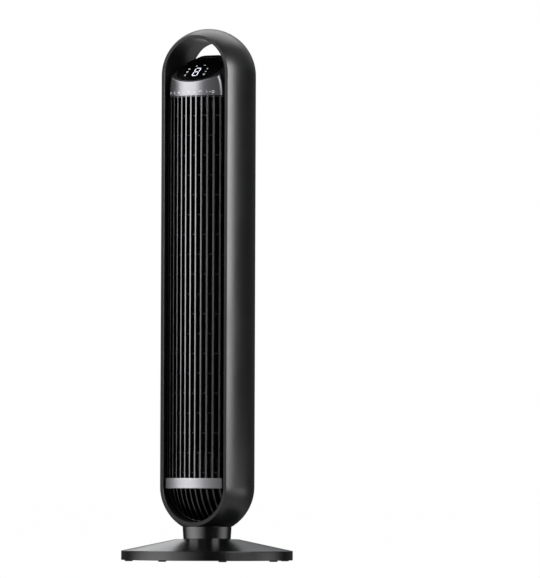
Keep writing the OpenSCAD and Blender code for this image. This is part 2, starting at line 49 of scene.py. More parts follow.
# the eye stands low and far off, to the right of the fan's front
view = {"azimuth": 33.3, "distance": 11.6, "eyeHeight": 0.136, "aimHeight": 0.473, "aimAcross": 0.1077,
        "frameHeight": 1.0043, "roll": 0.207, "sensor": 36}


def sideways(azimuth, reach, height):
    # a place by its direction round the fan, in degrees from the front, its distance and its height
    turn = math.radians(azimuth)
    return Vector((math.sin(turn) * reach, -math.cos(turn) * reach, height))


def facing(place, aim):
    # a place, turned so that what stands there looks at aim
    return Matrix.Translation(place) @ (aim - place).to_track_quat("-Z", "Y").to_matrix().to_4x4()


def makeCamera():
    turn = math.radians(view["azimuth"])
    right = Vector((math.cos(turn), math.sin(turn), 0))
    eye = sideways(view["azimuth"], view["distance"], view["eyeHeight"]) + right * view["aimAcross"]
    aim = right * view["aimAcross"] + Vector((0, 0, view["aimHeight"]))
    data = bpy.data.cameras.new("camera")
    data.sensor_width = view["sensor"]
    data.lens = view["sensor"] * (aim - eye).length / view["frameHeight"]
    data.clip_start, data.clip_end = 0.5, 60
    camera = bpy.data.objects.new("camera", data)
    bpy.context.collection.objects.link(camera)
    camera.matrix_world = facing(eye, aim) @ Matrix.Rotation(math.radians(view["roll"]), 4, "Z")
    bpy.context.scene.camera = camera


makeCamera()
bpy.context.scene.view_settings.view_transform = "Standard"

# each softbox: direction round the fan, distance, height of its middle, width, height, watts
softboxes = {
    "leftSoftbox": (-38, 2.6, 1.36, 2.5, 2.3, 92),
    "frontSoftbox": (8, 3.2, 1.25, 2.6, 2.4, 6),
    "rightSoftbox": (77, 2.4, 1.08, 1.45, 1.84, 52),
    "topSoftbox": (-160, 1.25, 2.6, 2.0, 1.7, 17),
    "backSoftbox": (-125, 1.0, 0.5, 0.8, 0.6, 1.15),
}


def makeLights():
    for name, (azimuth, reach, height, width, tall, watts) in softboxes.items():
        data = bpy.data.lights.new(name, "AREA")
        data.shape = "RECTANGLE"
        data.size, data.size_y, data.energy = width, tall, watts
        lamp = bpy.data.objects.new(name, data)
        lamp.visible_camera = False
        bpy.context.collection.objects.link(lamp)
        lamp.matrix_world = facing(sideways(azimuth, reach, height), Vector((0, 0, 0.5)))


makeLights()


def colour(text):
    # sRGB hex to linear red, green, blue, alpha
    parts = np.array([int(text[i:i + 2], 16) / 255 for i in (0, 2, 4)])
    linear = np.where(parts <= 0.04045, parts / 12.92, ((parts + 0.055) / 1.055) ** 2.4)
    return (*linear.tolist(), 1)


def addNode(tree, kind, inputs=None, **settings):
    # adds a node, sets its settings, and fills or links its inputs
    made = tree.nodes.new(kind)
    for key, value in settings.items():
        setattr(made, key, value)
    for key, value in (inputs or {}).items():
        if isinstance(value, bpy.types.NodeSocket):
            tree.links.new(value, made.inputs[key])
        else:
            made.inputs[key].default_value = value
    return made


def newMaterial(name):
    material = bpy.data.materials.new(name)
    material.use_nodes = True
    material.node_tree.nodes.clear()
    return material, material.node_tree


def plastic(name, tint, roughness, grain, bump, index=1.5):
    # moulded plastic: a sand-blasted grain, drawn coarser than the real twentieth of a millimetre so that it
    # shows, and a polish that drifts every 70 mm or so, which keeps long highlights from looking drawn
    material, tree = newMaterial(name)
    place = addNode(tree, "ShaderNodeTexCoord")
    fine = addNode(tree, "ShaderNodeTexNoise",
                   {"Vector": place.outputs["Object"], "Scale": 1 / (grain * mm), "Detail": 2.0})
    slow = addNode(tree, "ShaderNodeTexNoise",
                   {"Vector": place.outputs["Object"], "Scale": 14.0, "Detail": 3.0})
    rough = addNode(tree, "ShaderNodeMapRange", {
        "Value": slow.outputs["Fac"], "From Min": 0.3, "From Max": 0.7,
        "To Min": roughness - 0.03, "To Max": roughness + 0.03})
    relief = addNode(tree, "ShaderNodeBump",
                     {"Height": fine.outputs["Fac"], "Strength": bump, "Distance": 0.1 * mm})
    dark = addNode(tree, "ShaderNodeMixRGB", {"Fac": slow.outputs["Fac"], "Color1": colour(tint[0]),
                                              "Color2": colour(tint[1])})
    skin = addNode(tree, "ShaderNodeBsdfPrincipled", {
        "Base Color": dark.outputs["Color"], "Roughness": rough.outputs["Result"],
        "Normal": relief.outputs["Normal"], "IOR": index})
    addNode(tree, "ShaderNodeOutputMaterial", {"Surface": skin.outputs["BSDF"]})
    return material


def brushed(name, tint, roughness, along, line, depth):
    # brushed metal: hair lines along one axis that stretch the highlights across them, drawn several times
    # their real width so that they show
    material, tree = newMaterial(name)
    place = addNode(tree, "ShaderNodeTexCoord")
    squeeze = addNode(tree, "ShaderNodeMapping", {
        "Vector": place.outputs["Object"],
        "Scale": tuple(1.0 if axis == along else 40.0 for axis in range(3))})
    hair = addNode(tree, "ShaderNodeTexNoise", {
        "Vector": squeeze.outputs["Vector"], "Scale": 1 / (line * mm * 40), "Detail": 4.0, "Roughness": 0.6})
    rough = addNode(tree, "ShaderNodeMapRange", {
        "Value": hair.outputs["Fac"], "From Min": 0.3, "From Max": 0.7,
        "To Min": roughness - 0.06, "To Max": roughness + 0.06})
    relief = addNode(tree, "ShaderNodeBump",
                     {"Height": hair.outputs["Fac"], "Strength": depth, "Distance": 0.1 * mm})
    skin = addNode(tree, "ShaderNodeBsdfPrincipled", {
        "Base Color": colour(tint), "Metallic": 1.0, "Roughness": rough.outputs["Result"],
        "Normal": relief.outputs["Normal"]})
    addNode(tree, "ShaderNodeOutputMaterial", {"Surface": skin.outputs["BSDF"]})
    return material


def lit(name, tint, strength):
    # light through a window: an even white glow with a faint pattern of cells about a millimetre apart
    material, tree = newMaterial(name)
    place = addNode(tree, "ShaderNodeTexCoord")
    cells = addNode(tree, "ShaderNodeTexNoise", {"Vector": place.outputs["Object"], "Scale": 900.0})
    power = addNode(tree, "ShaderNodeMapRange", {
        "Value": cells.outputs["Fac"], "To Min": strength * 0.9, "To Max": strength * 1.1})
    skin = addNode(tree, "ShaderNodeBsdfPrincipled", {
        "Base Color": colour(tint), "Roughness": 0.4, "Emission Color": colour(tint),
        "Emission Strength": power.outputs["Result"]})
    addNode(tree, "ShaderNodeOutputMaterial", {"Surface": skin.outputs["BSDF"]})
    return material


# moulded plastics: the body's satin shows the softboxes as long soft bands, the rim and the inside stay
# dark, and the neck and the lens are polished enough to mirror the pale room
shellAbs = plastic("satinMouldedAbs", ("060607", "080809"), 0.35, 0.5, 0.1, 1.85)
rimAbs = plastic("fineTexturedAbs", ("060607", "080809"), 0.5, 0.5, 0.15, 1.3)
grilleAbs = plastic("semiGlossMouldedAbs", ("030304", "050506"), 0.3, 0.6, 0.05, 1.45)
innerAbs = plastic("mattMouldedAbs", ("030304", "050506"), 0.55, 0.6, 0.2, 1.4)
neckAbs = plastic("glossyBlackAbs", ("040405", "060606"), 0.16, 0.5, 0.04, 1.53)
baseAbs = plastic("satinBlackAbs", ("040405", "060606"), 0.21, 0.5, 0.08, 1.53)
lensAcrylic = plastic("polishedBlackAcrylic", ("020203", "040404"), 0.09, 3.0, 0.0)
rubber = plastic("blackRubber", ("0c0c0c", "121212"), 0.75, 0.9, 0.35)
acetal = plastic("naturalAcetal", ("dcdcd6", "e4e4de"), 0.38, 0.8, 0.05)
boardMask = plastic("greenSolderMask", ("123c22", "18482c"), 0.35, 1.2, 0.15)
sheath = plastic("blackPvcSheath", ("0c0c0c", "101010"), 0.5, 1.0, 0.1)
# metals: films, and a metallic grey that paints a sheen on the slats' fronts, all streaking along their
# brushing, and the steel, zinc, bronze and copper within
silverFilm = brushed("brushedSilverFilm", "8e8e90", 0.36, 0, 0.35, 0.12)
# the cap's film is the band's silver film darkened, painted shade that makes the cap read darker than the
# band
shadedCapFilm = brushed("brushedSilverFilmPaintedShade", "717173", 0.32, 0, 0.35, 0.12)
# the slats' fronts get this metallic grey as a painted sheen: it stands in for the highlights that their
# glossy black plastic catches
slatNoseSheen = brushed("slatNosePaintedSheen", "6a6a6c", 0.3, 2, 0.5, 0.05)
turnedSteel = brushed("turnedSteel", "b0b2b6", 0.28, 2, 0.5, 0.05)
zincPlate = brushed("zincPlatedSteel", "c2c2ba", 0.36, 2, 0.8, 0.05)
sinteredBronze = brushed("sinteredBronze", "b08a54", 0.5, 2, 0.5, 0.2)
enamelWire = brushed("enamelledCopperWire", "b4683a", 0.3, 2, 0.6, 0.3)
# lit marks: the digit is the brightest, the signs round it dimmer, the touch marks fainter still
segmentGlow = lit("litSegments", "f2f6ff", 1.1)
markGlow = lit("litPictograms", "e8ecf4", 0.5)
touchGlow = lit("litTouchMarks", "d8dae0", 0.15)
slotMaterials = {
    "shell_plastic": shellAbs, "black_plastic": innerAbs, "grille_plastic": grilleAbs,
    "gloss_black": lensAcrylic, "brushed_silver": silverFilm, "display_white": segmentGlow,
    "steel": turnedSteel, "zinc_plate": zincPlate, "bronze": sinteredBronze, "copper_wire": enamelWire,
    "acetal": acetal, "rubber": rubber, "board": boardMask, "wire_sheath": sheath,
}
print("materials ready")


def surface(points, ringed=False, looped=False, capped=False):
    # quads over a grid of points: rows run along, columns across; ringed joins the last column to the first,
    # looped the last row to the first, and capped closes both end rings with one face each
    rows, columns = points.shape[:2]
    index = np.arange(rows * columns).reshape(rows, columns)
    if ringed:
        index = np.hstack([index, index[:, :1]])
    if looped:
        index = np.vstack([index, index[:1]])
    quads = np.stack([index[:-1, :-1], index[:-1, 1:], index[1:, 1:], index[1:, :-1]], -1).reshape(-1, 4)
    faces = quads.tolist()
    if capped:
        faces += [np.arange(columns)[::-1].tolist(), ((rows - 1) * columns + np.arange(columns)).tolist()]
    return points.reshape(-1, 3), faces


def piece(name, parts, material, body, stands=(), sharp=35, finish=None, second=None):
    # one object from several surfaces given in millimetres; second is a further material with the test for
    # its faces
    vertices, faces, start = [], [], 0
    for points, quads in parts:
        vertices.append(points)
        faces += [[i + start for i in face] for face in quads]
        start += len(points)
    mesh = bpy.data.meshes.new(name)
    mesh.from_pydata((np.vstack(vertices) * mm).tolist(), [], faces)
    work = bmesh.new()
    work.from_mesh(mesh)
    bmesh.ops.remove_doubles(work, verts=work.verts, dist=1e-7)
    if finish:
        finish(work)
    bmesh.ops.recalc_face_normals(work, faces=work.faces)
    work.to_mesh(mesh)
    work.free()
    mesh.shade_smooth()
    mesh.set_sharp_from_angle(angle=math.radians(sharp))
    mesh.materials.append(material)
    if second:
        mesh.materials.append(second[0])
        for face in mesh.polygons:
            face.material_index = int(second[1](face))
    made = bpy.data.objects.new(name, mesh)
    bpy.context.collection.objects.link(made)
    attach(made, body)
    if stands:
        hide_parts(*stands)
    return made


def arc(centre, radius, start, end, count):
    # points on a flat arc from start to end degrees
    turn = np.radians(np.linspace(start, end, count))
    return np.stack([centre[0] + radius * np.cos(turn), centre[1] + radius * np.sin(turn)], -1)


def ease(a, b, count):
    # values from a to b, closer together at both ends
    return a + (b - a) * (0.5 - 0.5 * np.cos(np.pi * np.linspace(0, 1, count)))


def lastInside(outside, near, far, halvings=40):
    # the farthest value between near and far that isn't outside, found by halving the range again and again
    for _ in range(halvings):
        middle = (near + far) / 2
        beyond = outside(middle)
        far, near = np.where(beyond, middle, far), np.where(beyond, near, middle)
    return near


cornerLead = 0.3  # points this far before and after a rounded corner keep long flat sides flat to the light

# body shell: a capsule with a stadium opening in front and an arch through its top
shell = {"radius": 82, "wall": 2.6, "low": 129.5, "top": 843, "front": -44.5, "open": 62.5, "openLow": 130,
         "openTop": 844, "drop": 3.3, "flareFrom": 31.5, "flareSlope": 0.466, "flareRise": 1.5,
         "flareSoft": 12, "deck": 790, "floor": 60.3, "floorWall": 2.7, "rimFillet": 1.0, "rimChamfer": 0.8,
         "innerWall": 2.4, "wallEnd": -20}


def makeShell():
    s = shell
    r, inner = s["radius"], s["radius"] - s["wall"]
    # columns round the opening: bottom half circle, right side, top half circle, left side; part says how
    # far up the straight sides a column stands
    arcN, sideN, archN = 72, 40, 10
    bottom = np.radians(np.linspace(-180, 0, arcN, endpoint=False))
    top = np.radians(np.linspace(0, 180, arcN, endpoint=False))
    deckAt = (s["deck"] - s["low"]) / (s["top"] - s["low"])
    rise = np.concatenate([np.linspace(0, deckAt, sideN), np.linspace(deckAt, 1, archN)])[:-1]
    fall = np.concatenate([np.linspace(1, deckAt, archN), np.linspace(deckAt, 0, sideN)])[:-1]
    straight = np.zeros(len(rise))
    angle = np.concatenate([bottom, straight, top, straight + np.pi])
    part = np.concatenate([np.zeros(arcN), rise, np.ones(arcN), fall])
    archway = np.concatenate([np.zeros(arcN), np.arange(len(rise)) >= sideN, np.ones(arcN),
                              np.arange(len(fall)) < archN]).astype(bool)
    onArc = np.concatenate([np.ones(arcN), straight, np.ones(arcN), straight]).astype(bool)
    ca, sa = np.where(onArc, np.cos(angle), np.sign(np.cos(angle))), np.where(onArc, np.sin(angle), 0)
    n = len(angle)
    spineZ = s["low"] + part * (s["top"] - s["low"])
    openZ = s["openLow"] + part * (s["openTop"] - s["openLow"])

    def inside(y):
        # the opening's wall at depth y, one y for each column: a round-topped tunnel that flares at the back
        flare = s["flareSlope"] * np.maximum(y - s["flareFrom"], 0)
        soft = np.clip((y - s["flareFrom"] + s["flareSoft"] / 2) / s["flareSoft"], 0, 1)
        centre = s["openTop"] - (y - s["front"]) * math.tan(math.radians(s["drop"])) + s["flareRise"] * soft
        reach = s["open"] + np.where(part > 0.5, flare, 0)
        z = np.where(part >= 1, centre, openZ)
        side = ~onArc & (part > 0)
        chord = np.maximum(s["open"], np.sqrt(np.maximum(reach ** 2 - (z - centre) ** 2, 1)))
        x = np.where(side, np.where(archway, chord, s["open"]), reach)
        return np.stack([x * ca, y, z + np.where(onArc, reach * sa, 0)], -1)

    def pastSkin(y):
        # whether the tunnel's wall at depth y has left the capsule
        points = inside(y)
        spine = np.clip(points[:, 2], s["low"], s["top"])
        return np.sqrt(points[:, 0] ** 2 + points[:, 1] ** 2 + (points[:, 2] - spine) ** 2) > r

    # the back edge is where the tunnel's wall meets the capsule
    edgeY = lastInside(pastSkin, np.full(n, 20.0), np.full(n, 70.0))
    edge = inside(edgeY)

    def onCapsule(points):
        # points pushed straight away from the capsule's spine onto its skin
        spine = np.zeros_like(points)
        spine[..., 2] = np.clip(points[..., 2], s["low"], s["top"])
        away = points - spine
        return spine + away * (r / np.linalg.norm(away, axis=-1))[..., None]

    # front rim: flat, with a fillet to the outer skin and a small chamfer to the opening
    fil = s["rimFillet"]
    hub = math.sqrt((r - fil) ** 2 - (-s["front"] - fil) ** 2)
    lean = math.degrees(math.atan2(s["front"] + fil, hub))
    fillet = np.vstack([[[hub - cornerLead, s["front"]]], arc((hub, s["front"] + fil), fil, -90, lean, 7)])
    rows = [np.stack([ca * p, np.full(n, q), spineZ + sa * p], -1) for p, q in fillet]
    first = rows[-1]
    # outer skin from the fillet to the back edge, pulled onto the capsule: swing is the angle from the front,
    # across the angle round the capsule's round ends
    swing0 = np.arccos(np.clip(-first[:, 1] / r, -1, 1))
    swing1 = np.arccos(np.clip(-edge[:, 1] / r, -1, 1))
    across0 = np.arctan2(first[:, 2] - spineZ, first[:, 0])
    across1 = np.arctan2(edge[:, 2] - spineZ, edge[:, 0])
    turn = np.arctan2(np.sin(across1 - across0), np.cos(across1 - across0))
    for t in ease(0, 1, 60)[1:-1]:
        swing = swing0 + (swing1 - swing0) * t
        across = across0 + turn * t
        reach = r * np.sin(swing)
        z = np.where(onArc, spineZ + reach * np.sin(across), first[:, 2] * (1 - t) + edge[:, 2] * t)
        x = np.where(onArc, reach * np.cos(across), reach * ca)
        rows.append(onCapsule(np.stack([x, -r * np.cos(swing), z], -1)))
    rows.append(edge)
    # inner skin: the tunnel's wall in the arch, and below the deck a thin wall with a return lip
    count = 30
    frontEnd = s["front"] + s["rimChamfer"]
    arch = [inside(edgeY + (frontEnd - edgeY) * t) for t in ease(0, 1, count)[1:]]
    wallIn = math.sqrt(inner ** 2 - s["open"] ** 2)
    lipOut, lipIn = s["open"] + s["innerWall"], s["front"] + s["innerWall"]
    sweep = np.linspace(math.acos(-wallIn / inner), math.acos(-lipIn / inner), count - 5)
    lower = [(s["open"], wallIn)] + [(inner * math.sin(t), -inner * math.cos(t)) for t in sweep[1:]]
    lower += [(lipOut, lipIn), (lipOut, s["wallEnd"]), (s["open"], s["wallEnd"]), (s["open"], frontEnd)]
    below = [np.stack([ca * p, np.full(n, q), openZ + sa * p], -1) for p, q in lower]
    for row in below[:-1]:
        row[:, 2] = np.maximum(row[:, 2], s["floor"] + s["floorWall"])
    rows += [np.where(archway[:, None], a, b) for a, b in zip(arch, below)]
    # chamfer up to the rim
    rho = s["open"] + s["rimChamfer"]
    rows.append(np.stack([ca * rho, np.full(n, s["front"]), openZ + sa * rho], -1))

    def cutFloor(work):
        # flat bottom over the neck
        everything = work.verts[:] + work.edges[:] + work.faces[:]
        cut = bmesh.ops.bisect_plane(work, geom=everything, plane_co=(0, 0, s["floor"] * mm),
                                     plane_no=(0, 0, -1), clear_outer=True)
        rim = [e for e in cut["geom_cut"] if isinstance(e, bmesh.types.BMEdge)]
        bmesh.ops.edgeloop_fill(work, edges=rim)

    def onRim(face):
        return face.center.y < (s["front"] + 0.2) * mm and face.normal.y < -0.95

    piece("bodyShell", [surface(np.stack(rows, 0), ringed=True, looped=True)], shellAbs, "tower",
          ["outer_shell"], 28, cutFloor, (rimAbs, onRim))


makeShell()
print("shell made")

# front grille: flat-nosed slats that follow a wider capsule and dome back at the foot
grille = {"radius": 96, "axis": 40.3, "domeZ": 145, "count": 11, "pitch": 10.32, "width": 2.2, "depth": 10,
          "nose": 0.2, "top": 806.5, "frameOut": 62.3, "frameIn": 59.8, "frameDepth": 14, "frameEdge": 0.5,
          "lowZ": 130, "barTall": 3, "barHalf": 60, "ribPitch": 68.7, "ribLow": 221.2, "ribBack": 3.5,
          "ribDepth": 4, "ribTall": 2}


def grilleDepth(x, z, radius):
    # y of the capsule-shaped grille surface of that radius
    drop = np.minimum(z - grille["domeZ"], 0)
    return grille["axis"] - np.sqrt(np.maximum(radius ** 2 - x ** 2 - drop ** 2, 0.01))


def crossBar(xs, section, z):
    # bar through the places xs: its section, of points (back, up), keeps to the grille's curved face
    front = grilleDepth(xs, grille["top"], grille["radius"])
    back, up = np.array(section).T
    points = np.stack(np.broadcast_arrays(xs[:, None], front[:, None] + back, z + up), -1)
    return surface(points, ringed=True, capped=True)


def makeGrille():
    g = grille
    parts = []
    half, nose = g["width"] / 2, g["nose"]
    outline = np.vstack([
        [[-half, g["depth"]]], arc((-half + nose, nose), nose, 180, 270, 5),
        arc((half - nose, nose), nose, 270, 360, 5), [[half, g["depth"]]]])
    straightN, domeN = 12, 28
    for i in range(g["count"]):
        x = (i - (g["count"] - 1) / 2) * g["pitch"]
        # each line of the slat keeps to its own depth under the grille's surface
        reach = np.sqrt((g["radius"] - outline[:, 1]) ** 2 - (x + outline[:, 0]) ** 2)
        foot = g["lowZ"] - math.sqrt((g["frameIn"] + 1) ** 2 - x ** 2)
        bend = math.asin((g["domeZ"] - foot) / reach.max())
        straight = np.linspace(g["top"], g["domeZ"], straightN)
        height = np.concatenate([straight, np.full(domeN - 1, g["domeZ"])])[:, None]
        turn = np.concatenate([np.zeros(straightN), np.linspace(0, bend, domeN)[1:]])[:, None]
        points = np.stack(np.broadcast_arrays(x + outline[:, 0], g["axis"] - reach * np.cos(turn),
                                              height - reach * np.sin(turn)), -1)
        parts.append(surface(points, ringed=True, capped=True))
    # cross ribs, set back and staggered from gap to gap, with their ends let into the slats
    back, deep, tall, letIn = g["ribBack"], g["ribBack"] + g["ribDepth"], g["ribTall"], 0.2
    ribs = []
    for gap in range(g["count"] + 1):
        x0 = (gap - (g["count"] + 1) / 2) * g["pitch"] + g["width"] / 2
        xs = np.array([x0 - letIn, x0 + g["pitch"] - g["width"] + letIn])
        for step in range(-1, 9):
            z = g["ribLow"] + (step + (gap % 2) / 2) * g["ribPitch"]
            if z < g["top"] - 4:
                ribs.append(crossBar(xs, [(back, 0), (deep, 0), (deep, tall), (back, tall)], z))
    piece("grilleRibs", ribs, innerAbs, "tower", (), 40)
    # frame that the slats end in: two uprights and a half circle, then a bar across the top
    arcN, sideN, bendAt = 73, 8, 40
    turn = np.radians(np.linspace(-180, 0, arcN))
    upright = np.linspace(g["top"] - g["lowZ"], bendAt, sideN)
    ca = np.concatenate([-np.ones(sideN), np.cos(turn), np.ones(sideN)])
    sa = np.concatenate([np.zeros(sideN), np.sin(turn), np.zeros(sideN)])
    up = g["lowZ"] + np.concatenate([upright, np.zeros(arcN), upright[::-1]])
    inner, outer, e = g["frameIn"], g["frameOut"], g["frameEdge"]
    high, low = g["radius"], g["radius"] - g["frameDepth"]
    ring = [(inner, low), (inner, high - e), (inner + e, high),
            (outer - e, high), (outer, high - e), (outer, low)]
    rows = [np.stack([ca * w, grilleDepth(ca * w, up + sa * w, radius), up + sa * w], -1)
            for w, radius in ring]
    parts.append(surface(np.stack(rows, 1), ringed=True, capped=True))
    deep, foot, bevel = g["frameDepth"], -g["barTall"], 0.3
    section = [(bevel, 0), (0, -e), (0, foot + e), (bevel, foot), (deep, foot), (deep, 0)]
    parts.append(crossBar(np.linspace(-g["barHalf"], g["barHalf"], 41), section, g["top"]))

    def onNose(face):
        # the slats' fronts, which take the painted sheen: faces in a slat's width that look forward from the
        # grille's own surface
        away = math.hypot(face.center.x, face.center.y - g["axis"] * mm) / mm
        forward = away > g["radius"] - 1.5 or face.center.z < g["domeZ"] * mm
        slatted = abs((face.center.x / mm / g["pitch"] + 0.5) % 1 - 0.5) * g["pitch"] < half
        return slatted and forward and face.normal.y < -0.4

    piece("frontGrille", parts, grilleAbs, "tower", ["front_grille"], 40, None,
          (slatNoseSheen, onNose))


makeGrille()
print("grille made")

# silver trim band, bare, standing a little proud of the slats
band = {"radius": 116, "axis": 58, "low": 126, "high": 144.2, "half": 58.4, "edge": 0.7, "gap": 0.1}


def makeBand():
    b = band
    xs = ease(-b["half"], b["half"], 61)
    front = b["axis"] - np.sqrt(b["radius"] ** 2 - xs ** 2)
    back = grilleDepth(xs, grille["top"], grille["radius"]) + b["gap"]
    e, lead = b["edge"], b["edge"] + cornerLead
    corners = np.vstack([arc((e, b["low"] + e), e, 270, 180, 4),
                         [[0, b["low"] + lead], [0, b["high"] - lead]],
                         arc((e, b["high"] - e), e, 180, 90, 4)])
    rows = [np.stack([xs, np.minimum(front + p, back), np.full(len(xs), q)], -1) for p, q in corners]
    rows += [np.stack([xs, back, np.full(len(xs), q)], -1) for q in (b["high"], b["low"])]
    piece("trimBand", [surface(np.stack(rows, 1), ringed=True, capped=True)], silverFilm, "tower",
          ["trim_band"], 40)


makeBand()

# island under the arch: a rounded wall with a tilted display face, silver in front and black behind
island = {"half": 58, "springs": 806.5, "rise": 77.5, "frontRadius": 97, "frontAxis": 39, "ridgeY": 10,
          "rearTilt": 42, "splitY": 0, "heart": 820, "wall": 2.2, "sunk": 0.3, "ledge": 5.3, "deck": 790,
          "apron": 81.5, "apronHalf": 57.6, "apronWall": 2, "roofSoft": 8, "skinSoft": 2.5, "panelSoft": 1.6,
          "rearSoft": 6.0}
panel = {"tilt": 37, "y": -27.6, "z": 853.7, "lensA": 44.3, "lensB": 36.6, "lensThick": 2.1, "crown": 1.2,
         "bezelA": 45, "bezelB": 39.5, "bezelShift": 2.4, "bezelThick": 3.2}
heart = np.array([0, island["splitY"], island["heart"]])  # point inside, from which the skin is sought
farOut = 130.0  # beyond the skin in every direction


def onPanel(across, up, out):
    # a point of the display's own plane: across it, up its slope, and out of it
    turn = math.radians(panel["tilt"])
    return np.stack(np.broadcast_arrays(
        across, panel["y"] + up * math.cos(turn) - out * math.sin(turn),
        panel["z"] + up * math.sin(turn) + out * math.cos(turn)), -1)


def softMax(a, b, width):
    # the larger of two values, rounded where they are nearly equal
    return np.maximum(a, b) + np.maximum(width - np.abs(a - b), 0) ** 2 / (4 * width)


def islandFace(points):
    # how far points are in front of the display's plane, and of the island's other walls
    i = island
    x, y, z = points[..., 0], points[..., 1], points[..., 2]
    tilt, rear = math.radians(panel["tilt"]), math.radians(i["rearTilt"])
    front = (y - panel["y"]) * -math.sin(tilt) + (z - panel["z"]) * math.cos(tilt)
    ridgeZ = panel["z"] + (i["ridgeY"] - panel["y"]) * math.tan(tilt)
    back = (y - i["ridgeY"]) * math.sin(rear) + (z - ridgeZ) * math.cos(rear)
    up = np.maximum(z - i["springs"], 0)
    level = np.sqrt((x / i["half"]) ** 2 + (up / i["rise"]) ** 2) + 1e-9
    roof = (level - 1) * level / np.sqrt((x / i["half"] ** 2) ** 2 + (up / i["rise"] ** 2) ** 2 + 1e-12)
    wall = np.hypot(x, y - i["frontAxis"]) - i["frontRadius"]
    spine = np.clip(z, shell["low"], shell["top"])
    skin = np.sqrt(x ** 2 + y ** 2 + (z - spine) ** 2) - shell["radius"]
    return front, back, softMax(softMax(roof, wall, i["roofSoft"]), skin, i["skinSoft"])


def islandReach(ways, inset, sunk):
    # distance along each direction from the island's heart to its skin, shrunk by inset
    def outside(reach):
        front, back, sides = islandFace(heart + ways * reach[..., None])
        near = softMax(front + sunk, sides + inset, island["panelSoft"])
        return softMax(near, back + inset, island["rearSoft"]) > 0

    return lastInside(outside, np.zeros(ways.shape[:-1]), np.full(ways.shape[:-1], farOut), 36)


def islandSkin(start, end, count, foot):
    # closed shell from the bezel's edge, round it from start to end degrees, down to the height of its foot
    turn = np.radians(np.linspace(start, end, count))
    rim = onPanel(panel["bezelA"] * np.cos(turn), panel["bezelShift"] + panel["bezelB"] * np.sin(turn), 0.0)
    level = (rim - heart)[:, :2]
    level /= np.linalg.norm(level, axis=1)[:, None]

    def atFoot(reach):
        return np.column_stack([heart[:2] + level * reach[:, None], np.full(count, foot)])

    base = atFoot(lastInside(lambda reach: islandFace(atFoot(reach))[2] > 0,
                             np.zeros(count), np.full(count, farOut), 36))

    def skin(share, inset, sunk):
        # the skin seen from the heart at each share of the way from the rim to the base
        way = rim - heart + (base - rim) * share[..., None]
        way = way / np.linalg.norm(way, axis=-1)[..., None]
        return heart + way * islandReach(way, inset, sunk)[..., None]

    # the rows crowd into a strip 8 mm wide over the edge between the display's plane and the wall below it
    fine = np.linspace(0, 1, 400)[:, None] * np.ones(count)
    front, back, sides = islandFace(skin(fine, 0, island["sunk"]))
    edge = fine[np.argmax(np.maximum(sides, back) > front + island["sunk"], axis=0), 0]
    wide = np.minimum(4 / np.linalg.norm(base - rim, axis=1), np.minimum(edge, 1 - edge) * 0.9)
    low, high = edge - wide, edge + wide
    share = np.concatenate([low * np.linspace(0, 1, 7)[:-1, None],
                            low + (high - low) * np.linspace(0, 1, 12)[:-1, None],
                            high + (1 - high) * np.linspace(0, 1, 26)[:, None]])
    outer, inner = skin(share, 0, island["sunk"]), skin(share, island["wall"], island["ledge"])
    inner[-1, :, 2] = foot
    ring = np.concatenate([outer, inner[::-1]]).transpose(1, 0, 2)
    return surface(ring, ringed=True, capped=True)


def makeIsland():
    i = island
    # the silver cap and the black saddle part where the bezel's edge crosses splitY
    side = math.degrees(math.asin(((i["splitY"] - panel["y"]) / math.cos(math.radians(panel["tilt"]))
                                   - panel["bezelShift"]) / panel["bezelB"]))
    # the cap takes the darkened copy of the silver film: painted shade
    piece("controlCap", [islandSkin(180 - side, 360 + side, 220, i["springs"])], shadedCapFilm, "tower",
          ["control_cap"], 50)
    # the black part has a low apron under the silver one
    xs = np.linspace(-i["apronHalf"], i["apronHalf"], 49)
    ring = [(0, i["deck"]), (0, i["springs"]), (i["apronWall"], i["springs"]), (i["apronWall"], i["deck"])]
    rows = [np.stack([xs, grille["axis"] - np.sqrt(np.maximum((i["apron"] - p) ** 2 - xs ** 2, 0)),
                      np.full(len(xs), q)], -1) for p, q in ring]
    apron = surface(np.stack(rows, 1), ringed=True, capped=True)
    piece("displaySaddle", [islandSkin(side, 180 - side, 200, i["deck"]), apron], innerAbs, "tower",
          ["saddle_cap"], 50)


def lensCrown(a, b):
    # height of the lens over its plane at shares a and b of its half lengths
    return panel["crown"] * (1 - np.minimum(a ** 2 + b ** 2, 1))


def makeDisplay():
    p = panel
    turn = np.radians(np.linspace(0, 360, 180, endpoint=False))
    ca, sa = np.cos(turn), np.sin(turn)
    # the bezel's ovals, each by its half length, half width, shift up the slope and height: its outer edge,
    # then its inner one
    edges = [(p["bezelA"] - d, p["bezelB"] - d, p["bezelShift"], h) for d, h in (
        (0, -p["bezelThick"] + 0.1), (0, -0.25), (0.06, -0.08), (0.2, 0))]
    edges += [(p["lensA"] + d, p["lensB"] + d, 0, h) for d, h in (
        (0.16, 0), (0.08, -0.08), (0.08, -p["lensThick"]))]
    rows = [onPanel(a * ca, shift + b * sa, h) for a, b, shift, h in edges]
    piece("displayBezel", [surface(np.stack(rows), ringed=True, looped=True)], grilleAbs, "tower",
          ["display_bezel"], 50)
    # the lens is polished, with a slight crown
    rows = [onPanel((p["lensA"] - d) * ca, (p["lensB"] - d) * sa, h) for d, h in (
        (0, -p["lensThick"]), (0, -0.3), (0.1, -0.1), (0.35, 0))]
    for share in np.linspace(0.985, 0.02, 30):
        crown = lensCrown(share * ca, share * sa)
        rows.append(onPanel(p["lensA"] * share * ca, p["lensB"] * share * sa, crown))
    piece("displayLens", [surface(np.stack(rows), ringed=True, capped=True)], lensAcrylic, "tower",
          ["display_lens"], 50)


makeIsland()
makeDisplay()
print("island and display made")

